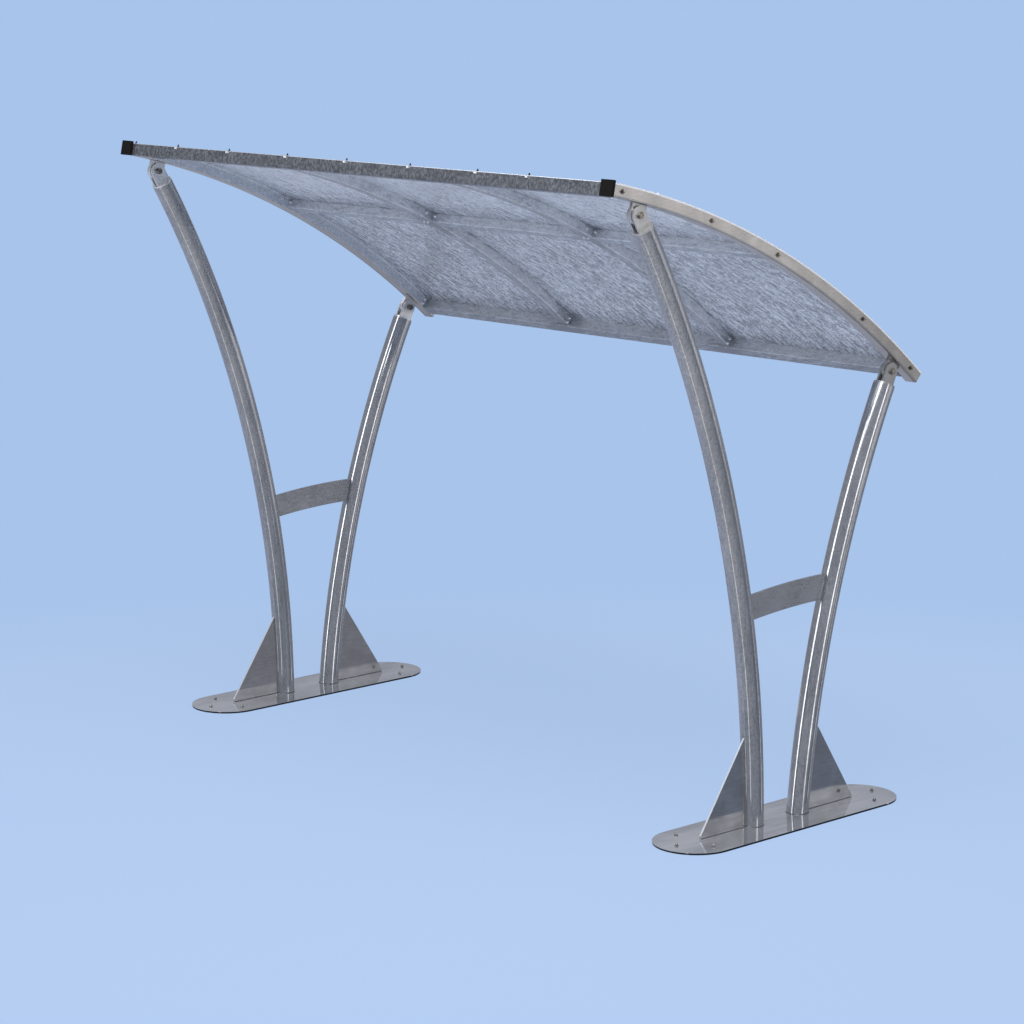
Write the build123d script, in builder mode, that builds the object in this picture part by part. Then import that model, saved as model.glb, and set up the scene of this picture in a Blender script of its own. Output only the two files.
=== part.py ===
from build123d import *
import os
from math import cos, degrees, radians, sin, sqrt

# Open bike shelter: a leaning pair of bent posts at each end carries an arched steel roof.
# X runs along the shelter, Y from the tall open front to the low back and Z up.
# The origin is on the floor under the middle of the whole.

# Roof outline, seen from the side as an arc about a far centre
roof_length = 3000.0        # over the outer faces of the side rails
roof_radius = 3870.0        # underside of the sheet and top of the rails
roof_centre_z = -1226.6     # height of the arc's centre
front_angle = 11.74         # where the roof starts, in degrees back from the arc's crown
rear_angle = 40.64           # where it ends
sheet_thk = 2.0

# Side rails, square-cut at both ends
rail_width = 60.0
rail_depth = 48.0
rail_wall = 3.0

# Plastic end caps at the front of the rails
cap_proud = 14.0
cap_lap_side = 2.0
cap_lap_under = 3.0
cap_lap_over = 10.0
cap_chamfer = 1.5
cap_plug_length = 22.0
cap_plug_clearance = 0.3

# Beams across the roof
beam_width = 50.0
beam_depth = 50.0
beam_wall = 3.0
rear_overhang = 32.0        # rail left behind the rear beam, along the arc
purlin_angle = 25.5
purlin_width = 50.0
purlin_depth = 40.0
purlin_wall = 2.5

# Curved rafters that share the roof out in thirds
rafter_spacing = 980.0
rafter_width = 60.0
rafter_depth = 40.0
rafter_wall = 2.5

# Angle cleats that hold the purlin
cleat_leg = 40.0
cleat_thk = 4.0
cleat_height = 34.0

# Floor plates, with three anchor holes round each rounded end
foot_setback = 1738.0       # middle of the floor plates behind the arc's centre
plate_length = 1270.0
plate_width = 330.0
plate_thk = 8.0
anchor_radius = 100.0
anchor_hole_d = 14.0

# Posts
tube_d = 88.9
tube_wall = 4.0
front_stance = 144.0        # front post ahead of the plate's middle
rear_stance = 118.0         # rear post behind it
rear_lean = 5.4             # backward lean of the rear post at the floor, in degrees

# Pivots under the rails
front_pin_angle = 14.18
rear_pin_angle = 38.5
pin_drop = 42.0             # pin below the underside of the rail
pin_d = 16.0
pin_hole_d = 17.0
fork_stub = 64.0            # pin above the cut end of the tube
fork_disc_thk = 8.0
fork_disc_margin = 1.0
cheek_thk = 8.0
cheek_width = 68.0
lug_thk = 14.0
lug_width = 74.0
lug_gap = 2.0
head_af = 24.0
head_thk = 10.0
nut_thk = 13.0

# Gusset plates at the feet
gusset_thk = 8.0
gusset_height = 368.0
gusset_reach = 440.0
gusset_nose = 12.0

# Arched bar that ties each pair of posts
bar_thk = 15.0
bar_height = 100.0
bar_front_z = 876.0
bar_rear_z = 906.0
bar_rise = 10.0

# Frame positions along the shelter
side_x = roof_length / 2 - rail_width / 2
sides = {"left": -side_x, "right": side_x}
rafters = {"left": -rafter_spacing / 2, "right": rafter_spacing / 2}

# The arc's centre is set so that the origin is midway between the foremost cap and the roof's rear edge
rail_under = roof_radius - rail_depth
cap_under = rail_under - cap_lap_under
fore_y = cap_under * sin(radians(front_angle)) - cap_proud * cos(radians(front_angle))
rear_y = (roof_radius + sheet_thk) * sin(radians(rear_angle))
roof_centre_y = -(fore_y + rear_y) / 2
foot_y = roof_centre_y + foot_setback


def on_arc(radius, angle):
    """Point (Y, Z) of the side view at a radius and an angle of the roof arc."""
    a = radians(angle)
    return (roof_centre_y + radius * sin(a), roof_centre_z + radius * cos(a))


def turn(length):
    """Angle that a length takes up along the roof."""
    return degrees(length / roof_radius)


def arc_band(outer, inner, start, end):
    """Part of a ring about the roof's centre, as a face for a side-view sketch."""
    with BuildSketch() as band:
        with BuildLine():
            top = CenterArc((roof_centre_y, roof_centre_z), outer, 90 - end, end - start)
            under = CenterArc((roof_centre_y, roof_centre_z), inner, 90 - end, end - start)
            Line(top @ 0, under @ 0)
            Line(top @ 1, under @ 1)
        make_face()
    return band.sketch


def arc_tube(name, x_mid, width, depth, wall, start, end, ends_open):
    """Box section rolled to the roof arc, open at its ends, or running along X when ends_open is X."""
    outer, inner = roof_radius, roof_radius - depth
    with BuildPart() as piece:
        with BuildSketch(Plane.YZ.offset(x_mid)):
            add(arc_band(outer, inner, start, end))
            if ends_open == "X":
                edge = turn(wall)
                add(arc_band(outer - wall, inner + wall, start + edge, end - edge), mode=Mode.SUBTRACT)
        extrude(amount=width / 2, both=True)
        if ends_open == "Y":
            with BuildSketch(Plane.YZ.offset(x_mid)):
                add(arc_band(outer - wall, inner + wall, start, end))
            extrude(amount=width / 2 - wall, both=True, mode=Mode.SUBTRACT)
    save(piece.part, name)


def save(part, name):
    part.label = name
    export_step(part, f"parts/{name}.step")


os.makedirs("parts", exist_ok=True)

# Floor plates
for side, x in sides.items():
    with BuildPart() as base_plate:
        with BuildSketch(Plane.XY):
            with Locations((x, foot_y)):
                SlotOverall(plate_length, plate_width, rotation=90)
        extrude(amount=plate_thk)
        end_y = plate_length / 2 - plate_width / 2
        for end, first in ((end_y, 0), (-end_y, 180)):
            with Locations(Plane((x, foot_y + end, plate_thk))):
                with PolarLocations(anchor_radius, 3, start_angle=first, angular_range=180, endpoint=True):
                    Hole(anchor_hole_d / 2)
    save(base_plate.part, f"base_plate_{side}")

# Centre line of each post, an arc from the floor plate to its pin
pin_radius = rail_under - pin_drop
front_pin = on_arc(pin_radius, front_pin_angle)
rear_pin = on_arc(pin_radius, rear_pin_angle)
with BuildLine(Plane.YZ) as front_line:
    TangentArc((foot_y - front_stance, plate_thk), front_pin, tangent=(0, 1))
with BuildLine(Plane.YZ) as rear_line:
    rear_way = (sin(radians(rear_lean)), cos(radians(rear_lean)))
    TangentArc((foot_y + rear_stance, plate_thk), rear_pin, tangent=rear_way)
posts = {
    "front": (front_line.edge(), front_pin, front_pin_angle, -1),
    "rear": (rear_line.edge(), rear_pin, rear_pin_angle, 1),
}


def line_y(line, z):
    """Y of a post's centre line at a height."""
    centre = line.arc_center
    bulge = 1 if (line @ 0).Y > centre.Y else -1
    return centre.Y + bulge * sqrt(line.radius**2 - (z - centre.Z) ** 2)


for side, x in sides.items():
    envelopes = []
    for end, (line, pin, pin_angle, way) in posts.items():
        # Bent tube, cut square to its own axis below the pin
        route = line.trim(0, 1 - fork_stub / line.length).moved(Location((x, 0, 0)))
        with BuildPart() as post:
            with BuildSketch(Plane(route @ 0, x_dir=(1, 0, 0), z_dir=route % 0)):
                Circle(tube_d / 2)
                Circle(tube_d / 2 - tube_wall, mode=Mode.SUBTRACT)
            sweep(path=route)
            split(bisect_by=Plane.XY.offset(plate_thk), keep=Keep.TOP)
        save(post.part, f"{end}_post_{side}")

        # Room that the tube takes up, to cope what meets it
        with BuildPart() as envelope:
            with BuildSketch(Plane(route @ 0, x_dir=(1, 0, 0), z_dir=route % 0)):
                Circle(tube_d / 2)
            sweep(path=route)
        envelopes.append(envelope.part)

        # Fork: a disc on the tube's end and two round-headed cheeks
        axis = route % 1
        top = Plane(route @ 1, x_dir=(1, 0, 0), z_dir=axis)
        pin_point = Vector(x, pin[0], pin[1])
        cheek_plane = Plane(pin_point, x_dir=axis, z_dir=(1, 0, 0))
        cheek_reach = (pin_point - (route @ 1)).length
        with BuildPart() as fork:
            with BuildSketch(top):
                Circle(tube_d / 2 - fork_disc_margin)
            extrude(amount=fork_disc_thk)
            for way_x in (1, -1):
                inner_face = way_x * (lug_thk / 2 + lug_gap)
                with BuildSketch(cheek_plane.offset(inner_face)):
                    Circle(cheek_width / 2)
                    with Locations((-cheek_reach / 2, 0)):
                        Rectangle(cheek_reach, cheek_width)
                    Circle(pin_hole_d / 2, mode=Mode.SUBTRACT)
                extrude(amount=way_x * cheek_thk)
            split(bisect_by=top, keep=Keep.TOP)
        save(fork.part, f"fork_{end}_{side}")

        # Lug hanging from the underside of the rail
        radial = Vector(0, sin(radians(pin_angle)), cos(radians(pin_angle)))
        with BuildPart() as lug:
            with BuildSketch(Plane.YZ.offset(x)) as lug_outline:
                with Locations(pin):
                    Circle(lug_width / 2)
                with Locations(Location((pin[0], pin[1]), -pin_angle)):
                    Rectangle(lug_width, 2 * pin_drop, align=(Align.CENTER, Align.MIN))
                with Locations((roof_centre_y, roof_centre_z)):
                    Circle(rail_under, mode=Mode.INTERSECT)
                with Locations(pin):
                    Circle(pin_hole_d / 2, mode=Mode.SUBTRACT)
            extrude(amount=lug_thk / 2, both=True)
        save(lug.part, f"roof_lug_{end}_{side}")

        # Pivot bolt with its nut, head outwards
        outer = lug_thk / 2 + lug_gap + cheek_thk
        out = 1 if x > 0 else -1
        across = Plane(pin_point, x_dir=(0, 1, 0), z_dir=(1, 0, 0))
        with BuildPart() as bolt:
            with BuildSketch(across.offset(-outer)):
                Circle(pin_d / 2)
            extrude(amount=2 * outer)
            for way_x, tall in ((out, head_thk), (-out, nut_thk)):
                with BuildSketch(across.offset(way_x * outer)):
                    RegularPolygon(head_af / 2, 6, major_radius=False)
                extrude(amount=way_x * tall)
        save(bolt.part, f"pivot_bolt_{end}_{side}")

        # Gusset plate on the outer side of the post
        toe = foot_y + way * gusset_reach
        heel = line_y(line, gusset_height)
        foot = line_y(line, plate_thk)
        with BuildPart() as gusset:
            with BuildSketch(Plane.YZ.offset(x)):
                with BuildLine():
                    Polyline(
                        (foot, plate_thk),
                        (toe, plate_thk),
                        (toe, plate_thk + gusset_nose),
                        (heel + way * tube_d / 2, gusset_height),
                        (heel, gusset_height),
                        close=True,
                    )
                make_face()
            extrude(amount=gusset_thk / 2, both=True)
            add(envelope.part, mode=Mode.SUBTRACT)
        save(gusset.part, f"gusset_{end}_{side}")

    # Arched tie between the two posts, coped round both
    front_end = Vector(line_y(front_line.edge(), bar_front_z), bar_front_z)
    rear_end = Vector(line_y(rear_line.edge(), bar_rear_z), bar_rear_z)
    middle = (front_end + rear_end) / 2 + Vector(0, bar_rise)
    half = Vector(0, bar_height / 2)
    with BuildPart() as cross_bar:
        with BuildSketch(Plane.YZ.offset(x)):
            with BuildLine():
                upper = ThreePointArc(front_end + half, middle + half, rear_end + half)
                lower = ThreePointArc(front_end - half, middle - half, rear_end - half)
                Line(upper @ 0, lower @ 0)
                Line(upper @ 1, lower @ 1)
            make_face()
        extrude(amount=bar_thk / 2, both=True)
        add(envelopes, mode=Mode.SUBTRACT)
    save(cross_bar.part, f"cross_bar_{side}")

# Side rails and their caps
for side, x in sides.items():
    arc_tube(f"side_rail_{side}", x, rail_width, rail_depth, rail_wall, front_angle, rear_angle, "Y")
    end_y, end_z = on_arc(rail_under, front_angle)
    forward = Vector(0, -cos(radians(front_angle)), sin(radians(front_angle)))
    mouth = Plane((x, end_y, end_z), x_dir=(1, 0, 0), z_dir=forward)
    up = 1 if mouth.y_dir.Z > 0 else -1
    cap_height = rail_depth + cap_lap_under + cap_lap_over
    with BuildPart() as rail_cap:
        with BuildSketch(mouth):
            with Locations((0, up * (cap_height / 2 - cap_lap_under))):
                Rectangle(rail_width + 2 * cap_lap_side, cap_height)
        extrude(amount=cap_proud)
        chamfer(rail_cap.faces().sort_by(Axis(mouth.origin, forward))[-1].edges(), cap_chamfer)
        with BuildSketch(mouth):
            with Locations((0, up * rail_depth / 2)):
                inside = rail_wall + cap_plug_clearance
                Rectangle(rail_width - 2 * inside, rail_depth - 2 * inside)
        extrude(amount=-cap_plug_length)
    save(rail_cap.part, f"rail_cap_{side}")

# Beams between the rails at the front and near the back
between = roof_length - 2 * rail_width
beam_turn = turn(beam_width)
arc_tube("front_beam", 0, between, beam_depth, beam_wall, front_angle, front_angle + beam_turn, "X")
rear_beam_angle = rear_angle - turn(rear_overhang)
arc_tube("rear_beam", 0, between, beam_depth, beam_wall, rear_beam_angle - beam_turn, rear_beam_angle, "X")

# Rafters
rafter_front = front_angle + beam_turn
rafter_rear = rear_beam_angle - beam_turn
for side, x in rafters.items():
    arc_tube(f"rafter_{side}", x, rafter_width, rafter_depth, rafter_wall, rafter_front, rafter_rear, "Y")

# Purlin in three lengths, and the cleats at its ends
half_turn = turn(purlin_width) / 2
stops = [-between / 2, rafters["left"], rafters["right"], between / 2]
bays = {"left": (stops[0], stops[1] - rafter_width / 2)}
bays["centre"] = (stops[1] + rafter_width / 2, stops[2] - rafter_width / 2)
bays["right"] = (stops[2] + rafter_width / 2, stops[3])
for bay, (x0, x1) in bays.items():
    first, last = purlin_angle - half_turn, purlin_angle + half_turn
    arc_tube(f"mid_purlin_{bay}", (x0 + x1) / 2, x1 - x0, purlin_depth, purlin_wall, first, last, "X")
    for end, corner, way in (("a", x0, 1), ("b", x1, -1)):
        cleat_top = roof_radius - (purlin_depth - cleat_height) / 2
        seat_y, seat_z = on_arc(cleat_top, last)
        down = Vector(0, -sin(radians(last)), -cos(radians(last)))
        with BuildPart() as cleat:
            with BuildSketch(Plane((corner, seat_y, seat_z), x_dir=(1, 0, 0), z_dir=down)) as cleat_outline:
                flip = 1 if cleat_outline.workplanes[0].y_dir.Y > 0 else -1
                with BuildLine():
                    Polyline(
                        (0, 0),
                        (way * cleat_leg, 0),
                        (way * cleat_leg, flip * cleat_thk),
                        (way * cleat_thk, flip * cleat_thk),
                        (way * cleat_thk, flip * cleat_leg),
                        (0, flip * cleat_leg),
                        close=True,
                    )
                make_face()
            extrude(amount=cleat_height)
        save(cleat.part, f"cleat_{bay}_{end}")

# Roof sheet over everything
with BuildPart() as roof_sheet:
    with BuildSketch(Plane.YZ):
        add(arc_band(roof_radius + sheet_thk, roof_radius, front_angle, rear_angle))
    extrude(amount=roof_length / 2, both=True)
save(roof_sheet.part, "roof_sheet")
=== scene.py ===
# %% [markdown]
# A bike shelter in galvanised steel: two side frames of bent tube on long floor plates carry an arched roof.
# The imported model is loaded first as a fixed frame. It tells where each piece is, and everything made here is
# fitted to it, in metres, with X along the shelter, Y from the open front to the low back and Z up.

from math import atan2, cos, pi, radians, sin

import bmesh
import bpy
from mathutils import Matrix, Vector


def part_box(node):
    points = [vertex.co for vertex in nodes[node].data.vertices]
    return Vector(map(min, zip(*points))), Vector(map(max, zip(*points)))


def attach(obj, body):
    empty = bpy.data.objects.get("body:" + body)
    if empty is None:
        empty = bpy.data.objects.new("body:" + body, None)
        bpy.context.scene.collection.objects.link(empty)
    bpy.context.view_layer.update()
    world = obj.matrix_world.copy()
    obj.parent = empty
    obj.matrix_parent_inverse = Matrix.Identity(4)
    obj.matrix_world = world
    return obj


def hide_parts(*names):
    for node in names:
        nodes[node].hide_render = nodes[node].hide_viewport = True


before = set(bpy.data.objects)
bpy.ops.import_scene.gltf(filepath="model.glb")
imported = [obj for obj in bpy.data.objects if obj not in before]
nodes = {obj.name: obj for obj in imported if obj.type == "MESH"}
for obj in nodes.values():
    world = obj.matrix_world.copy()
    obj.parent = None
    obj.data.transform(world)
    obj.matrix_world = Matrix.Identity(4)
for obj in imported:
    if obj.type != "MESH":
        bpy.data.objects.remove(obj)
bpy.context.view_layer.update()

# %% [markdown]
# The roof is one arc in side view, and the posts are arcs too. Their centres and radii are worked out once here,
# from the shelter's named sizes and from the boxes of the frame's nodes, so that each piece made below lies
# exactly on the solid it dresses.

# %% Sizes of the arcs
ROOF_RADIUS = 3.870
FRONT_ANGLE = radians(11.74)
REAR_ANGLE = radians(40.64)
SHEET = 0.002
# Each section is its width, its depth and its wall.
RAIL = (0.060, 0.048, 0.003)
BEAM = (0.050, 0.050, 0.003)
PURLIN = (0.050, 0.040, 0.0025)
RAFTER = (0.060, 0.040, 0.0025)
PURLIN_ANGLE = radians(25.5)
GRAIN_TURN = radians(12)
REAR_OVERHANG = 0.032
SIDE_X = 1.470
RAFTER_X = 0.490
RAIL_FACE, BETWEEN = SIDE_X + RAIL[0] / 2, SIDE_X - RAIL[0] / 2
TUBE = 0.0889
PLATE = 0.008
FRONT_STANCE, REAR_STANCE = 0.144, 0.118
REAR_LEAN = radians(5.4)
GUSSET_REACH = 0.440
PIN_DROP = 0.042
PIN_RADIUS = ROOF_RADIUS - RAIL[1] - PIN_DROP
PIN_ANGLES = {"front": radians(14.18), "rear": radians(38.5)}
FORK_STUB = 0.064

low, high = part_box("roof_sheet")
ROOF_Y = high.y - (ROOF_RADIUS + SHEET) * sin(REAR_ANGLE)
ROOF_Z = low.z - ROOF_RADIUS * cos(REAR_ANGLE)
low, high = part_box("base_plate_right")
FOOT_Y = (low.y + high.y) / 2
PLATE_LENGTH, PLATE_WIDTH = high.y - low.y, high.x - low.x


def on_roof(radius, angle, x=0.0):
    """Point at a radius and an angle of the roof's arc."""
    return Vector((x, ROOF_Y + radius * sin(angle), ROOF_Z + radius * cos(angle)))


def outward(angle):
    """Direction out of the roof's arc."""
    return Vector((0, sin(angle), cos(angle)))


def ahead(angle):
    """Direction along the roof's arc, towards the front."""
    return Vector((0, -cos(angle), sin(angle)))


def post_arc(y, z, lean, end):
    """Centre, radius and the two end angles of a post's line from its foot to its pin."""
    normal = Vector((cos(lean), -sin(lean)))
    reach = Vector((end.y - y, end.z - z))
    radius = reach.length_squared / (2 * reach.dot(normal))
    centre = Vector((y, z)) + normal * radius
    start = atan2(z - centre.y, y - centre.x)
    stop = atan2(end.z - centre.y, end.y - centre.x)
    return centre, abs(radius), start, stop


PINS = {end: on_roof(PIN_RADIUS, angle) for end, angle in PIN_ANGLES.items()}
POSTS = {
    "front": post_arc(FOOT_Y - FRONT_STANCE, PLATE, 0.0, PINS["front"]),
    "rear": post_arc(FOOT_Y + REAR_STANCE, PLATE, REAR_LEAN, PINS["rear"]),
}
print("roof centre:", round(ROOF_Y, 4), round(ROOF_Z, 4))
print("post radii:", {end: round(arc[1], 3) for end, arc in POSTS.items()})

# %% [markdown]
# Every finish here is one shader with a few patterns behind it. One small function adds a node, sets what it is
# given, links its inputs and returns the output that the next node takes. Another turns the hex code of a colour
# into the linear values that the renderer works in. A Mix node takes COLOURS to mix colours, and a Map Range node
# takes SMOOTH to ease in and out.

# %% Helpers for colours and nodes
def colour(code, strength=1.0):
    """An sRGB hex code as linear red, green, blue and alpha."""
    parts = [int(code[i:i + 2], 16) / 255 for i in (0, 2, 4)]
    return [strength * (c / 12.92 if c <= 0.04045 else ((c + 0.055) / 1.055) ** 2.4) for c in parts] + [1.0]


def node(tree, kind, inputs=None, output=0, stops=(), **settings):
    """Adds a node with its settings, colour stops and inputs, each a value or a link, and returns an output.

    A kind is written without its ShaderNode in front, and output=None returns all outputs.
    """
    made = tree.nodes.new(kind if "Node" in kind else "ShaderNode" + kind)
    for name, value in settings.items():
        setattr(made, name, value)
    for name, value in (inputs or {}).items():
        socket = made.inputs[name]
        if isinstance(value, bpy.types.NodeSocket):
            tree.links.new(value, socket)
        else:
            socket.default_value = value
    for index, (where, code) in enumerate(stops):
        ramp = made.color_ramp.elements
        stop = ramp[index] if index < 2 else ramp.new(where)
        stop.position, stop.color = where, colour(code)
    return made.outputs if output is None else made.outputs[output]


COLOURS = {"data_type": "RGBA", "output": 2}
SMOOTH = {"interpolation_type": "SMOOTHSTEP"}


def new_material(name):
    """An empty material with its shader, its output and its Object coordinates."""
    material = bpy.data.materials.new(name)
    material.use_nodes = True
    tree = material.node_tree
    tree.nodes.clear()
    shader = node(tree, "BsdfPrincipled").node
    node(tree, "OutputMaterial", {"Surface": shader.outputs[0]}, output=None)
    place = node(tree, "TexCoord", output="Object")
    return material, tree, shader, place


# %% [markdown]
# The roof's marks follow its arc, so for its pieces the Object coordinates are first turned into the way across,
# the way along the arc and the height from its centre. The same numbers tell how far a spot is from the nearest
# cleat, where the zinc is darkened with painted shade, and from the front, where the sheet is made pale with
# painted light. The frost runs about twelve degrees off the strip, and the undersides of the sections are painted
# darker as shade.

# %% Coordinates along the roof's arc
REAR_CLEATS = REAR_ANGLE - 0.022
# Painted shade near the cleats and under the sections, and painted light towards the front of the sheet.
SHADE_NEAR, SHADE_FAR = 0.02, 0.16
SHADED, CLEAR = 0.30, 0.5
FRONT_LIGHT_FROM, FRONT_LIGHT_TO, FRONT_LIGHT = 0.35, 0.02, 0.24
SHADE_UNDER_FROM, SHADE_UNDER_TO, SHADE_UNDER = 0.0005, 0.0015, 0.32


def from_centre(tree, place):
    """Object coordinates counted from the roof's centre, axis by axis, and the distance from the arc's axis."""
    centre = (RAFTER_X, ROOF_Y, ROOF_Z)
    moved = node(tree, "VectorMath", {0: place, 1: centre}, operation="SUBTRACT")
    axes = node(tree, "SeparateXYZ", {0: moved}, output=None)
    flat = node(tree, "CombineXYZ", {1: axes[1], 2: axes[2]})
    height = node(tree, "VectorMath", {0: flat}, operation="LENGTH", output="Value")
    return axes, height


def round_roof(tree, place, depth):
    """Coordinates along the roof's arc, and a tone with painted shade at the cleats and painted light at the front.
    """
    axes, height = from_centre(tree, place)
    turn = node(tree, "Math", {0: axes[1], 1: axes[2]}, operation="ARCTAN2")
    along = node(tree, "Math", {0: turn, 1: ROOF_RADIUS}, operation="MULTIPLY")
    bent = node(tree, "CombineXYZ", {0: axes[0], 1: along, 2: height})
    bent = node(tree, "VectorRotate", {"Vector": bent, "Angle": GRAIN_TURN}, rotation_type="Z_AXIS")
    aside = node(tree, "Math", {0: axes[0], 1: RAFTER_X, 2: -RAFTER_X}, operation="WRAP")
    nearest = 1.0
    for angle in (PURLIN_ANGLE, REAR_CLEATS):
        off = node(tree, "Math", {0: along, 1: ROOF_RADIUS * angle}, operation="SUBTRACT")
        spot = node(tree, "CombineXYZ", {0: aside, 1: off})
        away = node(tree, "VectorMath", {0: spot}, operation="LENGTH", output="Value")
        nearest = node(tree, "Math", {0: nearest, 1: away}, operation="MINIMUM")
    # Painted shade: darker within a few centimetres of the cleat joints.
    painted_junction_shade = node(tree, "MapRange", {0: nearest, 1: SHADE_NEAR, 2: SHADE_FAR, 3: SHADED, 4: CLEAR}, **SMOOTH)
    if depth:
        under = ROOF_RADIUS - depth
        # Painted shade: the section's underside is darker.
        painted_underside_shade = node(tree, "MapRange", {0: height, 1: under + SHADE_UNDER_FROM, 2: under + SHADE_UNDER_TO, 3: SHADE_UNDER, 4: 0.0})
        return bent, node(tree, "Math", {0: painted_junction_shade, 1: painted_underside_shade}, operation="SUBTRACT")
    purlin = ROOF_RADIUS * PURLIN_ANGLE
    # Painted light: the sheet is paler towards the front.
    painted_front_light = node(tree, "MapRange", {0: along, 1: purlin - FRONT_LIGHT_FROM, 2: purlin - FRONT_LIGHT_TO, 3: FRONT_LIGHT, 4: 0.0},
                  **SMOOTH)
    return bent, node(tree, "Math", {0: painted_junction_shade, 1: painted_front_light}, operation="ADD")


# %% [markdown]
# Metal shows its making as tone: zinc crystals, rolling lines, scratches and clouds are all small changes of
# brightness that also change the gloss and the relief a little. So one function sums layers of noise, each drawn
# out along the axes as its mark is, and lets the sum drive the tone, the roughness and the bump together. Noise
# seldom leaves the middle of its range, so most layers take only that part of it.

# %% A finish from layers
NOISE = (0.35, 0.65)
EVEN = (1, 1, 1)
DARKEST, PALEST, MIDDLE = 0.1, 0.9, 0.5
SWING = 0.05
RELIEF = 0.0004


def finish(name, layers, tones, rough, metallic, relief, flakes=None, rolled=None):
    """A finish from layers of noise: scale per metre, stretch, detail, range taken and range given."""
    material, tree, shader, place = new_material(name)
    mixed = MIDDLE
    if rolled is not None:
        place, mixed = round_roof(tree, place, rolled)
    for scale, stretch, detail, taken, given in layers:
        drawn = node(tree, "Mapping", {"Vector": place, "Scale": stretch})
        grain = node(tree, "TexNoise",
                     {"Vector": drawn, "Scale": scale, "Detail": detail, "Distortion": 0.3}, output="Fac")
        part = node(tree, "MapRange", {0: grain, 1: taken[0], 2: taken[1], 3: given[0], 4: given[1]})
        mixed = node(tree, "Math", {0: mixed, 1: part}, operation="ADD")
    if flakes:
        cells = node(tree, "TexVoronoi", {"Vector": place, "Scale": flakes[0]}, output="Color")
        grey = node(tree, "SeparateColor", {0: cells})
        part = node(tree, "MapRange", {0: grey, 3: -flakes[1], 4: flakes[1]})
        mixed = node(tree, "Math", {0: mixed, 1: part}, operation="ADD")
    stops = zip((DARKEST, PALEST, MIDDLE), tones)
    tint = node(tree, "ValToRGB", {0: mixed}, stops=stops)
    gloss = node(tree, "MapRange", {0: mixed, 1: DARKEST, 2: PALEST, 3: rough + SWING, 4: rough - SWING})
    bump = node(tree, "Bump", {"Strength": relief, "Distance": RELIEF, "Height": mixed})
    tree.links.new(tint, shader.inputs["Base Color"])
    tree.links.new(gloss, shader.inputs["Roughness"])
    tree.links.new(bump, shader.inputs["Normal"])
    shader.inputs["Metallic"].default_value = metallic
    print("finish:", name, "nodes:", len(tree.nodes))
    return material


# %% [markdown]
# Hot-dip galvanised steel is dull zinc grey. The zinc freezes into crystals, the spangle, so the eye sees flakes
# of slightly different grey, and on a tube also faint lines along it and darker clouds where the bath ran off.
# Cells of a Voronoi pattern give the flakes, about 8 mm across as on thick tube, and noise gives the rest. A weld
# has finer flakes, and is darker and rougher than the tube.

# %% Galvanised tube and bars
tube_zinc = finish("hot_dip_galvanised_tube",
                   [(9.0, (1, 1, 0.4), 3.0, NOISE, (-0.11, 0.11)),
                    (150.0, (1, 1, 0.05), 2.0, NOISE, (-0.10, 0.10)),
                    (110.0, EVEN, 2.0, NOISE, (-0.10, 0.10))],
                   ("8C8F95", "CACBCE", "AFB1B5"), 0.13, 0.88, 0.05, (120.0, 0.04))
bar_zinc = finish("hot_dip_galvanised_bar",
                  [(8.0, EVEN, 3.0, NOISE, (-0.2, 0.2)), (150.0, (1, 0.2, 1), 2.0, NOISE, (-0.14, 0.14))],
                  ("8A8C91", "B4B6BA", "A0A2A6"), 0.25, 0.85, 0.12, (110.0, 0.08))
weld_zinc = finish("galvanised_weld", [(60.0, EVEN, 2.0, NOISE, (-0.2, 0.2))],
                   ("3E4044", "7E8186", "5A5D62"), 0.34, 0.8, 0.2, (300.0, 0.08))

# %% [markdown]
# The roof is pre-galvanised strip. Rolling drew its frost out along the strip, so the eye sees short bright and
# dark strokes, about 37 mm long and 11 mm wide, with long hairlines among them. On the sheet and the rafters they
# run from front to back, on the purlins and the rear beam along the shelter, and all but the sheet show them
# faintly. One list of layers, stretched along the right axis, gives all of them. The front beam is a darker grey
# with blotches.

# %% Galvanised sheet and sections
def strokes(axis, strength=1.0):
    """Layers of rolled frost that run along an axis."""
    short, long = ([s if i == axis else 1 for i in range(3)] for s in (0.30, 0.05))
    return [(90.0, short, 4.0, (0.36, 0.64), (-0.30 * strength, 0.30 * strength)),
            (150.0, EVEN, 2.0, NOISE, (-0.32 * strength, 0.32 * strength)),
            (60.0, long, 2.0, (0.57, 0.66), (0.0, 0.30 * strength)),
            (55.0, long, 2.0, (0.34, 0.42), (-0.22 * strength, 0.0)),
            (4.0, EVEN, 2.0, NOISE, (-0.04, 0.04))]


FAINT = 0.35
sheet_zinc = finish("pregalvanised_sheet", strokes(1), ("8F9299", "F0F2F5", "C4C6CC"), 0.38, 0.6, 0.06, rolled=0.0)
rafter_zinc = finish("pregalvanised_rafter", strokes(1, FAINT), ("929499", "F8F9FB", "DCDEE3"), 0.38, 0.5, 0.06,
                     rolled=RAFTER[1])
purlin_zinc = finish("pregalvanised_purlin", strokes(0, FAINT), ("A0A3A9", "FCFCFD", "E3E5E9"), 0.38, 0.45, 0.06,
                     rolled=PURLIN[1])
rear_zinc = finish("pregalvanised_rear_beam", strokes(0, FAINT), ("8A8D93", "EEF0F3", "CDCFD4"), 0.38, 0.5, 0.06,
                   rolled=BEAM[1])
front_zinc = finish("pregalvanised_front_beam",
                    [(90.0, (1, 0.8, 0.8), 4.0, (0.36, 0.64), (-0.40, 0.40)),
                     (14.0, EVEN, 3.0, NOISE, (-0.14, 0.14))],
                    ("5D5F63", "929498", "76787D"), 0.26, 0.7, 0.12)
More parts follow.
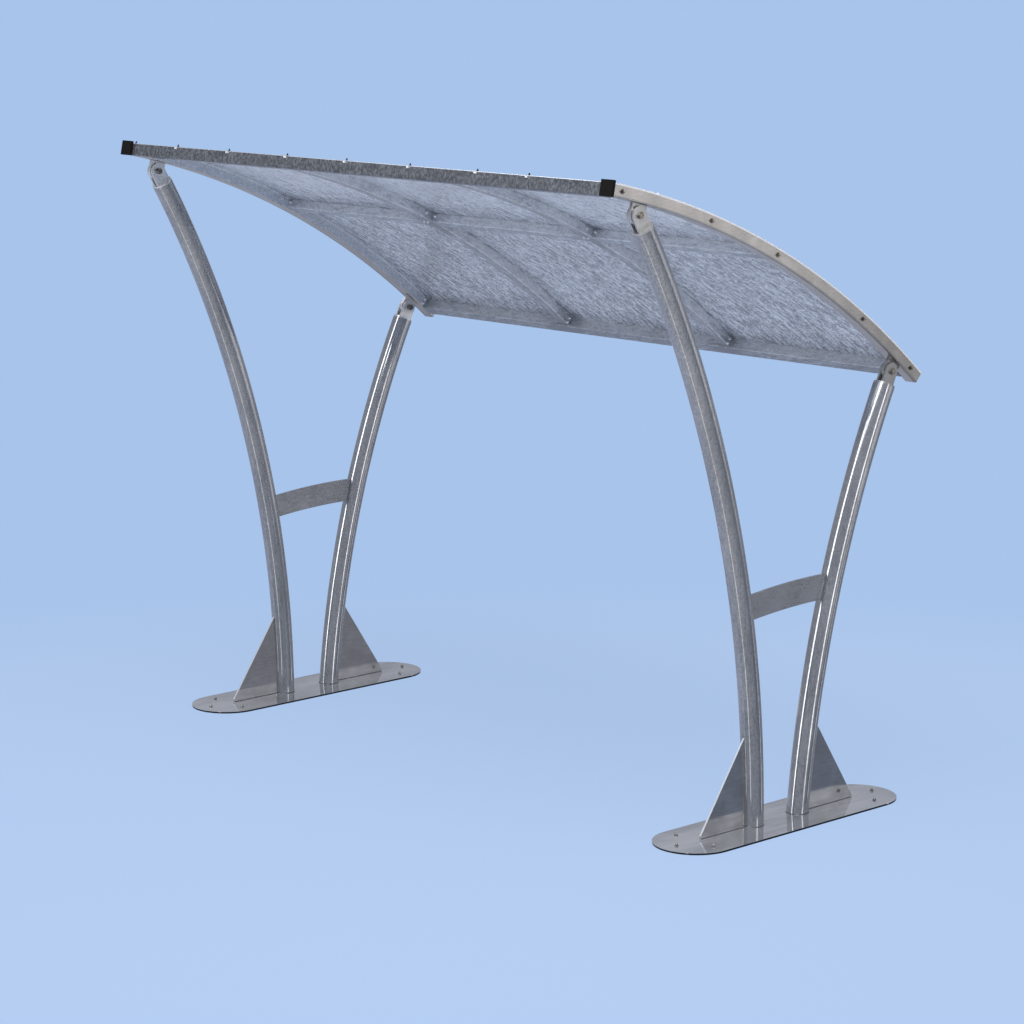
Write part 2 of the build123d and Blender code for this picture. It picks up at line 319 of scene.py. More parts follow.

# %% [markdown]
# The sheared edge of the sheet is uncoated metal, and its pale line along the front and over the rails is in part
# that metal and in part a painted highlight, painted whiter to the right. It is too narrow for a piece of its own,
# so the sheet's own finish turns pale within half a millimetre of its front and side edges, found from the Object
# coordinates. The top side is darker and duller, which the mask finds by its distance from the roof's centre. A
# finish that is worked on further is opened by one small function.

# %% Sheared edge of the sheet
def parts_of(material):
    """Tree, shader, Object coordinates and tone of a finish."""
    tree = material.node_tree
    shader = next(n for n in tree.nodes if n.type == "BSDF_PRINCIPLED")
    place = next(n for n in tree.nodes if n.type == "TEX_COORD").outputs["Object"]
    print("opened:", material.name)
    return tree, shader, place, shader.inputs["Base Color"].links[0].from_socket


SIDE_EDGE, FRONT_EDGE = 0.0005, 0.0006
HIGHLIGHT_FROM, HIGHLIGHT_TO = -0.6, 1.2
TOP_FROM, TOP_TO = 0.0014, 0.0018
TOP_GREY, TOP_MATT = 0.6, 0.25
tree, shader, place, tone = parts_of(sheet_zinc)
axes = node(tree, "SeparateXYZ", {0: place}, output=None)
aside = node(tree, "Math", {0: axes[0]}, operation="ABSOLUTE")
at_side = node(tree, "Math", {0: aside, 1: RAIL_FACE - SIDE_EDGE}, operation="GREATER_THAN")
front_line = on_roof(ROOF_RADIUS, FRONT_ANGLE).y + FRONT_EDGE
at_front = node(tree, "Math", {0: axes[1], 1: front_line}, operation="LESS_THAN")
edge = node(tree, "Math", {0: at_side, 1: at_front}, operation="MAXIMUM")
# Painted highlight: the edge is painted near white, whiter towards the right.
painted_highlight_to_right = node(tree, "MapRange", {0: axes[0], 1: HIGHLIGHT_FROM, 2: HIGHLIGHT_TO})
pale = node(tree, "Math", {0: at_side, 1: painted_highlight_to_right}, operation="MAXIMUM")
shade = node(tree, "Mix", {0: pale, 6: colour("C4C8CE"), 7: colour("FFFFFF")}, **COLOURS)
edged = node(tree, "Mix", {0: edge, 6: tone, 7: shade}, **COLOURS)
_, height = from_centre(tree, place)
# The top side is darker and duller.
top = node(tree, "MapRange", {0: height, 1: ROOF_RADIUS + TOP_FROM, 2: ROOF_RADIUS + TOP_TO})
darker_share = node(tree, "MapRange", {0: top, 3: 0.0, 4: TOP_GREY})
top_darkened = node(tree, "Mix", {0: darker_share, 6: edged, 7: colour("5E6166")}, **COLOURS)
dull = node(tree, "Math", {0: edge, 1: top}, operation="MAXIMUM")
metal = node(tree, "MapRange", {0: dull, 3: shader.inputs["Metallic"].default_value, 4: 0.1})
gloss = shader.inputs["Roughness"].links[0].from_socket
matt = node(tree, "Math", {0: top, 1: TOP_MATT, 2: gloss}, operation="MULTIPLY_ADD")
tree.links.new(top_darkened, shader.inputs["Base Color"])
tree.links.new(metal, shader.inputs["Metallic"])
tree.links.new(matt, shader.inputs["Roughness"])

# %% [markdown]
# The side rails and forks are bright rolled section, smoother and warmer than the dipped tube: a satin grey with
# faint clouds and long, fine rolling marks. The real marks are finer than a millimetre, and are drawn 2 mm wide to
# show at all. The floor plates and gussets are cold-rolled plate, polished enough to mirror the posts and each
# other, with faint rolling marks.

# %% Bright section and polished plate
rail_zinc = finish("bright_rolled_section",
                   [(10.0, EVEN, 3.0, NOISE, (-0.18, 0.18)),
                    (500.0, (1, 0.04, 0.3), 2.0, NOISE, (-0.10, 0.10))],
                   ("B8B3AE", "D3CEC8", "C5C0BA"), 0.24, 0.75, 0.04)
fork_zinc = finish("bright_fork_steel",
                   [(10.0, EVEN, 3.0, NOISE, (-0.18, 0.18)),
                    (500.0, (0.3, 0.3, 0.04), 2.0, NOISE, (-0.10, 0.10))],
                   ("B2B1B0", "CFCECC", "C1C0BE"), 0.24, 0.7, 0.04)
plate_steel = finish("polished_steel_plate",
                     [(6.0, (1, 0.5, 1), 4.0, NOISE, (-0.3, 0.3)),
                      (160.0, (1, 0.03, 1), 2.0, NOISE, (-0.16, 0.16))],
                     ("B9BBBF", "E4E5E8", "D0D2D6"), 0.08, 0.85, 0.03)
gusset_steel = finish("polished_gusset_plate",
                      [(9.0, EVEN, 4.0, NOISE, (-0.3, 0.3)), (120.0, (1, 0.1, 1), 2.0, NOISE, (-0.14, 0.14))],
                      ("C4C3C2", "EEECEA", "DAD8D5"), 0.10, 1.0, 0.03)

# %% [markdown]
# The bolts in the rails and pins have gone dull and dark, and the anchors in the plates are a little brighter. The
# small bolts and screws under the roof are bright zinc, painted near white as a painted highlight, so they look
# like white dots. The studs on the sheet's front edge are black oxide and look like dark ones. On a piece this
# small one pattern of spots serves them all, and the tones tell them apart.

# %% Bolts, anchors and studs
SPOTTED = [(90.0, EVEN, 2.0, NOISE, (-0.3, 0.3))]
bolt_dull = finish("dull_zinc_bolt", SPOTTED, ("6A6762", "ACA8A1", "8A8680"), 0.24, 1.0, 0.05)
anchor_zinc = finish("domed_anchor", SPOTTED, ("6A6967", "BAB9B7", "929190"), 0.14, 1.0, 0.05)
stud_steel = finish("black_oxide_stud", SPOTTED, ("1C1B1A", "3C3A37", "2B2A28"), 0.4, 0.3, 0.05)
# Painted highlight: these small bolts are painted near white so that they read as white dots.
bolt_zinc_painted_white = finish("zinc_bolt_painted_white", SPOTTED, ("E4E3E1", "FFFFFF", "F4F4F2"), 0.2, 0.3, 0.05)

# %% [markdown]
# The gussets were cut on a guillotine, and their sloping edges are uncoated bright metal; a pale, less metallic
# tone painted on them as a painted highlight shows as a white line. Each slope is a line in side view, from the
# gusset's toe to its top, and the edge is where a point's distance from that line is almost nothing.

# %% Cut edges of the gussets
def slope_of(piece, way):
    """Outward normal and distance of a gusset's sloping edge in side view."""
    spots = [piece.matrix_world @ v.co for v in piece.data.vertices]
    toe = max(spots, key=lambda p: (round(way * p.y, 4), p.z))
    tip = max(spots, key=lambda p: (round(p.z, 4), way * p.y))
    normal = Vector((0.0, way * (tip.z - toe.z), way * (toe.y - tip.y))).normalized()
    return normal, normal.dot(toe)


EDGE_FROM, EDGE_TO = 0.0004, 0.0008
tree, shader, place, tone = parts_of(gusset_steel)
gap = 1.0
for end, way in (("front", -1), ("rear", 1)):
    normal, reach = slope_of(nodes[f"gusset_{end}_right"], way)
    print("slope", end, [round(c, 3) for c in normal], round(reach, 4))
    out = node(tree, "VectorMath", {0: place, 1: tuple(normal)}, operation="DOT_PRODUCT", output="Value")
    off = node(tree, "Math", {0: out, 1: reach}, operation="SUBTRACT")
    near = node(tree, "Math", {0: off}, operation="ABSOLUTE")
    gap = node(tree, "Math", {0: gap, 1: near}, operation="MINIMUM")
# Painted highlight: a pale, less metallic line along each sloping edge.
bare_edge_highlight = node(tree, "MapRange", {0: gap, 1: EDGE_FROM, 2: EDGE_TO, 3: 1.0, 4: 0.0})
edged = node(tree, "Mix", {0: bare_edge_highlight, 6: tone, 7: colour("CED2D8")}, **COLOURS)
metal = node(tree, "MapRange", {0: bare_edge_highlight, 3: shader.inputs["Metallic"].default_value, 4: 0.2})
tree.links.new(edged, shader.inputs["Base Color"])
tree.links.new(metal, shader.inputs["Metallic"])

# %% [markdown]
# The rails are bright only on their outer faces, and even those grow darker towards the rear. On the inner faces,
# under the sheet, the zinc has kept its pale dull skin. The underside is painted darker as shade, less on the right
# rail than on the left, and darkest in a painted shadow line along its outer edge. A painted white highlight runs
# along the upper arris. The masks are again distances in metres from a face or an edge, and a share or a tone is a
# part of 1.

# %% Inner faces, rear darkening, painted shade and painted highlight of the rails
SKIN_FROM, SKIN_TO = 0.0003, 0.0010
OUTER_FROM, OUTER_TO = 0.003, 0.001
REAR_FROM, REAR_TO, REAR_SHARE = 0.0, 0.72, 0.62
EDGE_SHADE_FROM, EDGE_SHADE_TO, EDGE_SHADE_SHARE = 0.016, 0.008, 0.36
LEFT_UNDER, RIGHT_UNDER = 0.6, 0.76
UNDER_FROM, UNDER_TO = 0.0005, 0.0020
ARRIS_FROM, ARRIS_TO = 0.0045, 0.0035
tree, shader, place, tone = parts_of(rail_zinc)
axes = node(tree, "SeparateXYZ", {0: place}, output=None)
aside = node(tree, "Math", {0: axes[0]}, operation="ABSOLUTE")
within = node(tree, "MapRange", {0: aside, 1: BETWEEN + SKIN_FROM, 2: BETWEEN + SKIN_TO, 3: 1.0, 4: 0.0})
grain = node(tree, "TexNoise", {"Vector": place, "Scale": 140.0, "Detail": 4.0}, output="Fac")
skin = node(tree, "ValToRGB", {0: grain}, stops=((0.36, "B4B8C0"), (0.64, "DEE1E8"), (0.5, "CACDD5")))
# Darker towards the rear on the outer faces.
darker_share = node(tree, "MapRange",
            {0: aside, 1: RAIL_FACE - OUTER_FROM, 2: RAIL_FACE - OUTER_TO, 3: 1.0, 4: REAR_SHARE})
rear_darkening = node(tree, "MapRange", {0: axes[1], 1: REAR_FROM, 2: REAR_TO, 3: 1.0, 4: darker_share})
rear_darkened = node(tree, "Mix", {0: rear_darkening, 6: colour("1C1C1E"), 7: tone}, **COLOURS)
dulled = node(tree, "Mix", {0: within, 6: rear_darkened, 7: skin}, **COLOURS)
_, height = from_centre(tree, place)
under = ROOF_RADIUS - RAIL[1]
# Painted shade: the underside is darker, more on the left rail than the right, and darkest in a line along the
# outer edge.
left_right_shade = node(tree, "MapRange", {0: axes[0], 1: -1.0, 2: 1.0, 3: LEFT_UNDER, 4: RIGHT_UNDER})
shade = node(tree, "MapRange",
             {0: aside, 1: RAIL_FACE - EDGE_SHADE_FROM, 2: RAIL_FACE - EDGE_SHADE_TO, 3: left_right_shade, 4: EDGE_SHADE_SHARE})
underside_unshaded = node(tree, "MapRange", {0: height, 1: under + UNDER_FROM, 2: under + UNDER_TO, 3: shade, 4: 1.0})
rail_underside_shaded = node(tree, "Mix", {0: underside_unshaded, 6: colour("2A2C30"), 7: dulled}, **COLOURS)
# Painted highlight: a white line along the upper arris.
painted_arris_highlight = node(tree, "MapRange", {0: height, 1: ROOF_RADIUS - ARRIS_FROM, 2: ROOF_RADIUS - ARRIS_TO})
arris_highlighted = node(tree, "Mix", {0: painted_arris_highlight, 6: rail_underside_shaded, 7: colour("FFFFFF")}, **COLOURS)
metal = node(tree, "MapRange", {0: within, 3: shader.inputs["Metallic"].default_value, 4: 0.3})
tree.links.new(arris_highlighted, shader.inputs["Base Color"])
tree.links.new(metal, shader.inputs["Metallic"])

# %% [markdown]
# The forks and lugs grow darker towards the rear, as the rails do. On the left they are paler, which is painted
# light.

# %% Rear darkening and painted light of the forks
FORK_FROM, FORK_TO, FORK_SHARE = 0.0, 0.70, 0.6
LEFT_LIGHT = 0.6
tree, shader, place, tone = parts_of(fork_zinc)
axes = node(tree, "SeparateXYZ", {0: place}, output=None)
# Darker towards the rear.
rear_darkening = node(tree, "MapRange", {0: axes[1], 1: FORK_FROM, 2: FORK_TO, 3: 1.0, 4: FORK_SHARE})
rear_darkened = node(tree, "Mix", {0: rear_darkening, 6: colour("1C1C1E"), 7: tone}, **COLOURS)
# Painted light: the left forks are painted paler.
painted_left_light = node(tree, "Mix", {0: LEFT_LIGHT, 6: tone, 7: colour("FFFFFF")}, **COLOURS)
left = node(tree, "MapRange", {0: axes[0], 1: -1.0, 2: 1.0, 3: 1.0, 4: 0.0})
forked = node(tree, "Mix", {0: left, 6: rear_darkened, 7: painted_left_light}, **COLOURS)
tree.links.new(forked, shader.inputs["Base Color"])

# %% [markdown]
# A plate's cut edge keeps its dark scale, with a bright arris where the polishing reached it. Height tells the
# two apart, so the edge's tone is a ramp over the last millimetre below the plate's top.

# %% Cut edge of the plates
SCALE_TOP, POLISHED = 0.0016, 0.0008
tree, shader, place, tone = parts_of(plate_steel)
axes = node(tree, "SeparateXYZ", {0: place}, output=None)
top = node(tree, "MapRange", {0: axes[2], 1: PLATE - SCALE_TOP, 2: PLATE - POLISHED})
scaled = node(tree, "Mix", {0: top, 6: colour("34363A"), 7: tone}, **COLOURS)
tree.links.new(scaled, shader.inputs["Base Color"])

# %% [markdown]
# The rail caps are moulded polyethylene: near black, with a fine matt grain from the mould, drawn a millimetre
# coarse so that it shows. They barely shine, so the shader's specular level is turned down.

# %% Black plastic
cap_black = finish("moulded_polyethylene", [(900.0, EVEN, 2.0, (0.3, 0.7), (-0.3, 0.3))],
                   ("0C0B0A", "1A1816", "13110F"), 0.48, 0.0, 0.15)
parts_of(cap_black)[1].inputs["Specular IOR Level"].default_value = 0.1

# %% [markdown]
# The frame's own nodes keep their shape and only get a finish, chosen by the first words of their names. A table
# lists the slot that goes with each finish. The pieces
# made below also name the slot that goes with their finish.

# %% Give the frame's nodes their finishes
FINISHES = {
    "base_plate": plate_steel, "gusset": gusset_steel, "fork": fork_zinc, "roof_lug": fork_zinc,
    "pivot_bolt": bolt_dull, "cross_bar": bar_zinc, "rail_cap": cap_black, "cleat": purlin_zinc,
    "front_post": tube_zinc, "rear_post": tube_zinc, "side_rail": rail_zinc, "mid_purlin": purlin_zinc,
    "front_beam": front_zinc, "rear_beam": rear_zinc, "rafter": rafter_zinc, "roof_sheet": sheet_zinc,
}
SLOTS = {
    rail_zinc: "bright_rail", sheet_zinc: "galvanised_sheet",
    **dict.fromkeys((tube_zinc, rafter_zinc, purlin_zinc, rear_zinc, front_zinc, weld_zinc), "galvanised_steel"),
    **dict.fromkeys((bolt_zinc_painted_white, bolt_dull, anchor_zinc, stud_steel), "zinc_bolt"),
}
for name, part in nodes.items():
    chosen = next(m for stem, m in FINISHES.items() if name.startswith(stem))
    part.data.materials.clear()
    part.data.materials.append(chosen)
print("finishes given to", len(nodes), "nodes")

# %% [markdown]
# Pieces whose shape follows a rule are made by Geometry Nodes: a tree is built in code, with named inputs for its
# sizes, set on a mesh of points or lines, and the result is made a plain mesh with its place in its vertices.

# %% Helpers that run a tree
def new_tree(name, **sizes):
    """A Geometry Nodes tree with a material and the given named sizes as inputs."""
    tree = bpy.data.node_groups.new(name, "GeometryNodeTree")
    tree.interface.new_socket("Geometry", in_out="INPUT", socket_type="NodeSocketGeometry")
    tree.interface.new_socket("Geometry", in_out="OUTPUT", socket_type="NodeSocketGeometry")
    tree.interface.new_socket("Material", in_out="INPUT", socket_type="NodeSocketMaterial")
    for size, value in sizes.items():
        socket = tree.interface.new_socket(size, in_out="INPUT", socket_type="NodeSocketFloat")
        socket.default_value = value
    return tree, node(tree, "NodeGroupInput", output=None)


def close_tree(tree, given, geometry):
    """Ends a tree in real geometry with its material."""
    real = node(tree, "GeometryNodeRealizeInstances", {"Geometry": geometry})
    shaded = node(tree, "GeometryNodeSetMaterial", {"Geometry": real, "Material": given["Material"]})
    node(tree, "NodeGroupOutput", {0: shaded}, output=None)
    return tree


def add_object(name, data):
    """An object at the origin, linked to the scene."""
    made = bpy.data.objects.new(name, data)
    bpy.context.scene.collection.objects.link(made)
    return made


SHARP = radians(35)


def ride(piece, replaced=()):
    """Shades a finished piece and lets it ride on the frame."""
    piece.data.name = piece.name
    piece.data.shade_smooth()
    piece.data.set_sharp_from_angle(angle=SHARP)
    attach(piece, "root")
    if replaced:
        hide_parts(*replaced)
    print(piece.name, "faces:", len(piece.data.polygons))
    return piece


def grow(name, tree, material, points=(), edges=(), facing=(), replaced=(), **sizes):
    """Runs a tree on loose points or lines and keeps the result as a plain mesh."""
    seed = bpy.data.meshes.new(name + "_seed")
    seed.from_pydata([tuple(p) for p in points], edges, [])
    if facing:
        layer = seed.attributes.new("facing", "FLOAT_VECTOR", "POINT")
        for item, value in zip(layer.data, facing):
            item.vector = value
    piece = add_object(name, seed)
    modifier = piece.modifiers.new("build", "NODES")
    modifier.node_group = tree
    values = {"Material": material, **sizes}
    for item in tree.interface.items_tree:
        if item.in_out == "INPUT" and item.name in values:
            modifier[item.identifier] = values[item.name]
    bpy.context.view_layer.update()
    mesh = bpy.data.meshes.new_from_object(piece.evaluated_get(bpy.context.evaluated_depsgraph_get()))
    piece.modifiers.remove(modifier)
    piece.data = mesh
    return ride(piece, replaced)


# %% [markdown]
# Each post is one tube bent to an arc. A circle is swept along an arc by Curve to Mesh, which gives a round,
# evenly shaded tube without facets. It starts inside the floor plate's thickness, because the rear posts lean and
# would otherwise show a gap on one side, and no point of it goes lower than that. It ends under its fork.

# %% Bent posts
def bent_tube_tree():
    tree, given = new_tree("bent_tube", Radius=4.8, Start=0.0, Sweep=0.5, Diameter=0.09, X=0.0, Y=0.0, Z=0.0,
                           Lowest=0.0)
    arc = node(tree, "GeometryNodeCurveArc",
               {"Resolution": 72, "Radius": given["Radius"], "Start Angle": given["Start"],
                "Sweep Angle": given["Sweep"]}, mode="RADIUS")
    upright = node(tree, "GeometryNodeTransform", {"Geometry": arc, "Rotation": (pi / 2, 0, pi / 2)})
    place = node(tree, "CombineXYZ", {0: given["X"], 1: given["Y"], 2: given["Z"]})
    placed = node(tree, "GeometryNodeTransform", {"Geometry": upright, "Translation": place})
    half = node(tree, "Math", {0: given["Diameter"], 1: 2.0}, operation="DIVIDE")
    ring = node(tree, "GeometryNodeCurvePrimitiveCircle", {"Resolution": 48, "Radius": half})
    swept = node(tree, "GeometryNodeCurveToMesh", {"Curve": placed, "Profile Curve": ring, "Fill Caps": True})
    at = node(tree, "SeparateXYZ", {0: node(tree, "GeometryNodeInputPosition")}, output=None)
    height = node(tree, "Math", {0: at[2], 1: given["Lowest"]}, operation="MAXIMUM")
    kept = node(tree, "CombineXYZ", {0: at[0], 1: at[1], 2: height})
    level = node(tree, "GeometryNodeSetPosition", {"Geometry": swept, "Position": kept})
    return close_tree(tree, given, level)


SUNK = 0.005
FORK_GAP = 0.0005
LOWEST = PLATE - 0.004
SIDES = (("left", -SIDE_X), ("right", SIDE_X))
tube_tree = bent_tube_tree()
for side, x in SIDES:
    for end, (centre, radius, start, stop) in POSTS.items():
        sunk = SUNK / radius
        turned = (stop - start + pi) % (2 * pi) - pi
        way = 1 if turned > 0 else -1
        grow(f"bent_{end}_post_{side}", tube_tree, tube_zinc, replaced=[f"{end}_post_{side}"],
             Radius=radius, Start=start - way * sunk, Sweep=turned + way * (sunk - (FORK_STUB - FORK_GAP) / radius),
             Diameter=TUBE, X=x, Y=centre.x, Z=centre.y, Lowest=LOWEST)

# %% [markdown]
# The rails, rafters, beams and purlins are cold-formed box section. Its lower corners are about twice as round as
# the wall is thick, and the upper ones, where the sheet lies, are sharper. Those round corners catch a thin line of
# light that a sharp box would not have. A rounded rectangle is drawn at each step, outside and inside, and
# neighbours are joined by faces. Mesh code closes the wall at the cut ends more exactly than a tree would.

# %% Box sections
UPPER_CORNER, LOWER_CORNER, LEAST_CORNER = 0.0015, 0.005, 0.0004
CORNER_STEPS, CORNER_FLAT = 4, 0.0015
ARC_STEPS = 64


def rounded_box(wide, deep, upper, lower):
    """Points of a rectangle with round corners, against the clock, with one more on the flat beside each corner."""
    points = []
    for index, (sx, sy, r) in enumerate(((1, 1, upper), (-1, 1, upper), (-1, -1, lower), (1, -1, lower))):
        for step in range(-1, CORNER_STEPS + 2):
            a = (index + min(max(step, 0), CORNER_STEPS) / CORNER_STEPS) * pi / 2
            flat = CORNER_FLAT * ((step > CORNER_STEPS) - (step < 0))
            points.append((sx * (wide / 2 - r) + r * cos(a) - flat * sin(a),
                           sy * (deep / 2 - r) + r * sin(a) + flat * cos(a)))
    return points


def keep(name, mesh, material, replaced=()):
    """Turns finished mesh code into a piece that rides on the frame."""
    bmesh.ops.recalc_face_normals(mesh, faces=mesh.faces)
    data = bpy.data.meshes.new(name)
    mesh.to_mesh(data)
    mesh.free()
    data.materials.append(material)
    return ride(add_object(name, data), replaced)


def section(name, material, stations, size, replaced):
    """Box section through stations, each a centre, a direction across and a direction up."""
    wide, deep, wall = size
    mesh = bmesh.new()
    skins = []
    for inset in (0.0, wall):
        outline = rounded_box(wide - 2 * inset, deep - 2 * inset, max(UPPER_CORNER - inset, LEAST_CORNER),
                              LOWER_CORNER - inset)
        skins.append([[mesh.verts.new(centre + across * u + up * v) for u, v in outline]
                      for centre, across, up in stations])
    count = len(skins[0][0])
    for skin in skins:
        for one, two in zip(skin, skin[1:]):
            for k in range(count):
                mesh.faces.new((one[k], one[(k + 1) % count], two[(k + 1) % count], two[k]))
    for place in (0, -1):
        outer, inner = skins[0][place], skins[1][place]
        for k in range(count):
            mesh.faces.new((outer[k], outer[(k + 1) % count], inner[(k + 1) % count], inner[k]))
    return keep(name, mesh, material, [replaced])


def along_arc(x, depth, start, end):
    """Stations along the roof's arc, under the sheet."""
    angles = [start + (end - start) * step / ARC_STEPS for step in range(ARC_STEPS + 1)]
    return [(on_roof(ROOF_RADIUS - depth / 2, a, x), Vector((1, 0, 0)), outward(a)) for a in angles]


def along_x(x0, x1, depth, angle):
    """Stations of a straight piece that runs along X under the sheet."""
    return [(on_roof(ROOF_RADIUS - depth / 2, angle, x), -ahead(angle), outward(angle)) for x in (x0, x1)]


BEAM_TURN = BEAM[0] / ROOF_RADIUS
REAR_BEAM = REAR_ANGLE - REAR_OVERHANG / ROOF_RADIUS
HALF_RAFTER = RAFTER[0] / 2
BAYS = (("left", -BETWEEN, -RAFTER_X - HALF_RAFTER), ("centre", -RAFTER_X + HALF_RAFTER, RAFTER_X - HALF_RAFTER),
        ("right", RAFTER_X + HALF_RAFTER, BETWEEN))
for side, x in SIDES:
    section(f"rolled_rail_{side}", rail_zinc, along_arc(x, RAIL[1], FRONT_ANGLE, REAR_ANGLE), RAIL,
            f"side_rail_{side}")
for side, x in (("left", -RAFTER_X), ("right", RAFTER_X)):
    section(f"rolled_rafter_{side}", rafter_zinc,
            along_arc(x, RAFTER[1], FRONT_ANGLE + BEAM_TURN, REAR_BEAM - BEAM_TURN), RAFTER, f"rafter_{side}")
section("box_front_beam", front_zinc, along_x(-BETWEEN, BETWEEN, BEAM[1], FRONT_ANGLE + BEAM_TURN / 2), BEAM,
        "front_beam")
section("box_rear_beam", rear_zinc, along_x(-BETWEEN, BETWEEN, BEAM[1], REAR_BEAM - BEAM_TURN / 2), BEAM,
        "rear_beam")
for bay, x0, x1 in BAYS:
    section(f"box_purlin_{bay}", purlin_zinc, along_x(x0, x1, PURLIN[1], PURLIN_ANGLE), PURLIN, f"mid_purlin_{bay}")

# %% [markdown]
# The roof is a single sheet of galvanised strip rolled to the arc. A ring of four corners is set at each step of
# the arc and joined to the next, so the sheet has its real two millimetres and a true edge.

# %% Roof sheet
SHEET_STEPS = 96
mesh = bmesh.new()
rings = []
corners = [(x, ROOF_RADIUS + rise) for x, rise in
           ((-RAIL_FACE, 0), (RAIL_FACE, 0), (RAIL_FACE, SHEET), (-RAIL_FACE, SHEET))]
for step in range(SHEET_STEPS + 1):
    a = FRONT_ANGLE + (REAR_ANGLE - FRONT_ANGLE) * step / SHEET_STEPS
    rings.append([mesh.verts.new(on_roof(r, a, x)) for x, r in corners])
for one, two in zip(rings, rings[1:]):
    for k in range(4):
        mesh.faces.new((one[k], one[(k + 1) % 4], two[(k + 1) % 4], two[k]))
mesh.faces.new(rings[0])
mesh.faces.new(rings[-1])
keep("rolled_roof_sheet", mesh, sheet_zinc, ["roof_sheet"])

# %% [markdown]
# Fasteners repeat by the dozen, so one tree makes them all: a washer, a hexagon head on it and the stud's domed
# end on top, set on every point that it is given and turned to the direction stored with the point. Its named
# inputs are the sizes of the three.

# %% Hexagon head tree
FLATS_TO_CORNER = 0.5774


def hex_head_tree():
    tree, given = new_tree("hex_head", Washer=0.018, Thickness=0.0015, Flats=0.013, Height=0.0055, Stud=0.008,
                           Reach=0.006)
    joined = node(tree, "GeometryNodeJoinGeometry")
    foot = 0.0
    for sides, width, share, depth in ((20, "Washer", 0.5, "Thickness"), (6, "Flats", FLATS_TO_CORNER, "Height"),
                                       (12, "Stud", 0.5, "Reach")):
        radius = node(tree, "Math", {0: given[width], 1: share}, operation="MULTIPLY")
        drum = node(tree, "GeometryNodeMeshCylinder",
                    {"Vertices": sides, "Radius": radius, "Depth": given[depth]}, output="Mesh")
        middle = node(tree, "Math", {0: given[depth], 1: 0.5, 2: foot}, operation="MULTIPLY_ADD")
        shift = node(tree, "CombineXYZ", {2: middle})
        moved = node(tree, "GeometryNodeTransform", {"Geometry": drum, "Translation": shift})
        tree.links.new(moved, joined.node.inputs[0])
        foot = node(tree, "Math", {0: foot, 1: given[depth]}, operation="ADD")
    ball = node(tree, "GeometryNodeMeshUVSphere", {"Segments": 12, "Rings": 8, "Radius": radius}, output="Mesh")
    raised = node(tree, "CombineXYZ", {2: foot})
    dome = node(tree, "GeometryNodeTransform", {"Geometry": ball, "Translation": raised})
    tree.links.new(dome, joined.node.inputs[0])
    facing = node(tree, "GeometryNodeInputNamedAttribute", {"Name": "facing"}, data_type="FLOAT_VECTOR")
    turned = node(tree, "FunctionNodeAlignRotationToVector", {"Vector": facing}, axis="Z")
    spots = node(tree, "GeometryNodeMeshToPoints", {"Mesh": given["Geometry"]})
    placed = node(tree, "GeometryNodeInstanceOnPoints", {"Points": spots, "Instance": joined, "Rotation": turned})
    return close_tree(tree, given, placed)


head_tree = hex_head_tree()


def fasteners(name, spots, material=bolt_zinc_painted_white, **sizes):
    """Hexagon heads at spots, each a point and the direction that its head faces."""
    return grow(name, head_tree, material, [p for p, _ in spots], facing=[d for _, d in spots], **sizes)


# %% [markdown]
# The sheet is held by studs along the front beam and by screws into the rails. A row of screws shows in the front
# beam's face, and bolts through the rails' outer faces hold the beams and the purlin. The positions along the
# front are the uneven ones of the real shelter.

# %% Studs, screws and rail bolts
FRONT_X = (-1.443, -1.143, -0.791, -0.407, -0.032, 0.351, 0.739, 1.024)
STUD_SHIFT, SCREW_SHIFT, SCREW_DROP = 0.014, 0.011, 0.005
RAIL_BOLTS = [radians(a) for a in (12.35, 19.6, 25.5, 34.1, 39.6)]
RAIL_SCREWS = [radians(a) for a in (15.5, 19.2, 25.7, 30.5, 35.5)]
studs = radians(11.85)
fasteners("front_edge_studs",
          [(on_roof(ROOF_RADIUS + SHEET, studs, x + STUD_SHIFT), outward(studs)) for x in FRONT_X], stud_steel,
          Flats=0.008, Height=0.0030, Washer=0.010, Thickness=0.001, Stud=0.006, Reach=0.0040)
fasteners("front_beam_screws",
          [(on_roof(ROOF_RADIUS - SCREW_DROP, FRONT_ANGLE, x + SCREW_SHIFT), ahead(FRONT_ANGLE))
           for x in FRONT_X[1:]],
          Flats=0.006, Height=0.004, Washer=0.007, Thickness=0.001, Stud=0.006, Reach=0.001)
fasteners("rail_bolts",
          [(on_roof(ROOF_RADIUS - RAIL[1] / 2, a, way * RAIL_FACE), Vector((way, 0, 0)))
           for a in RAIL_BOLTS for way in (-1, 1)], bolt_dull,
          Flats=0.013, Height=0.0055, Washer=0.020, Thickness=0.0016, Stud=0.008, Reach=0.003)
fasteners("rail_screws",
          [(on_roof(ROOF_RADIUS + SHEET, a, x), outward(a)) for a in RAIL_SCREWS for x in (-SIDE_X, SIDE_X)],
          Flats=0.008, Height=0.004, Washer=0.014, Thickness=0.0012, Stud=0.004, Reach=0.0005)

# %% [markdown]
# At each end of a purlin length one bolt goes through its front face into the cleat behind it. On the side face of
# the rail or rafter there, one bolt shows in front of the purlin and two in front of the rear beam. Two more sit
# under each rafter, just in front of the purlin. Three anchors in a triangle hold each end of a floor plate.

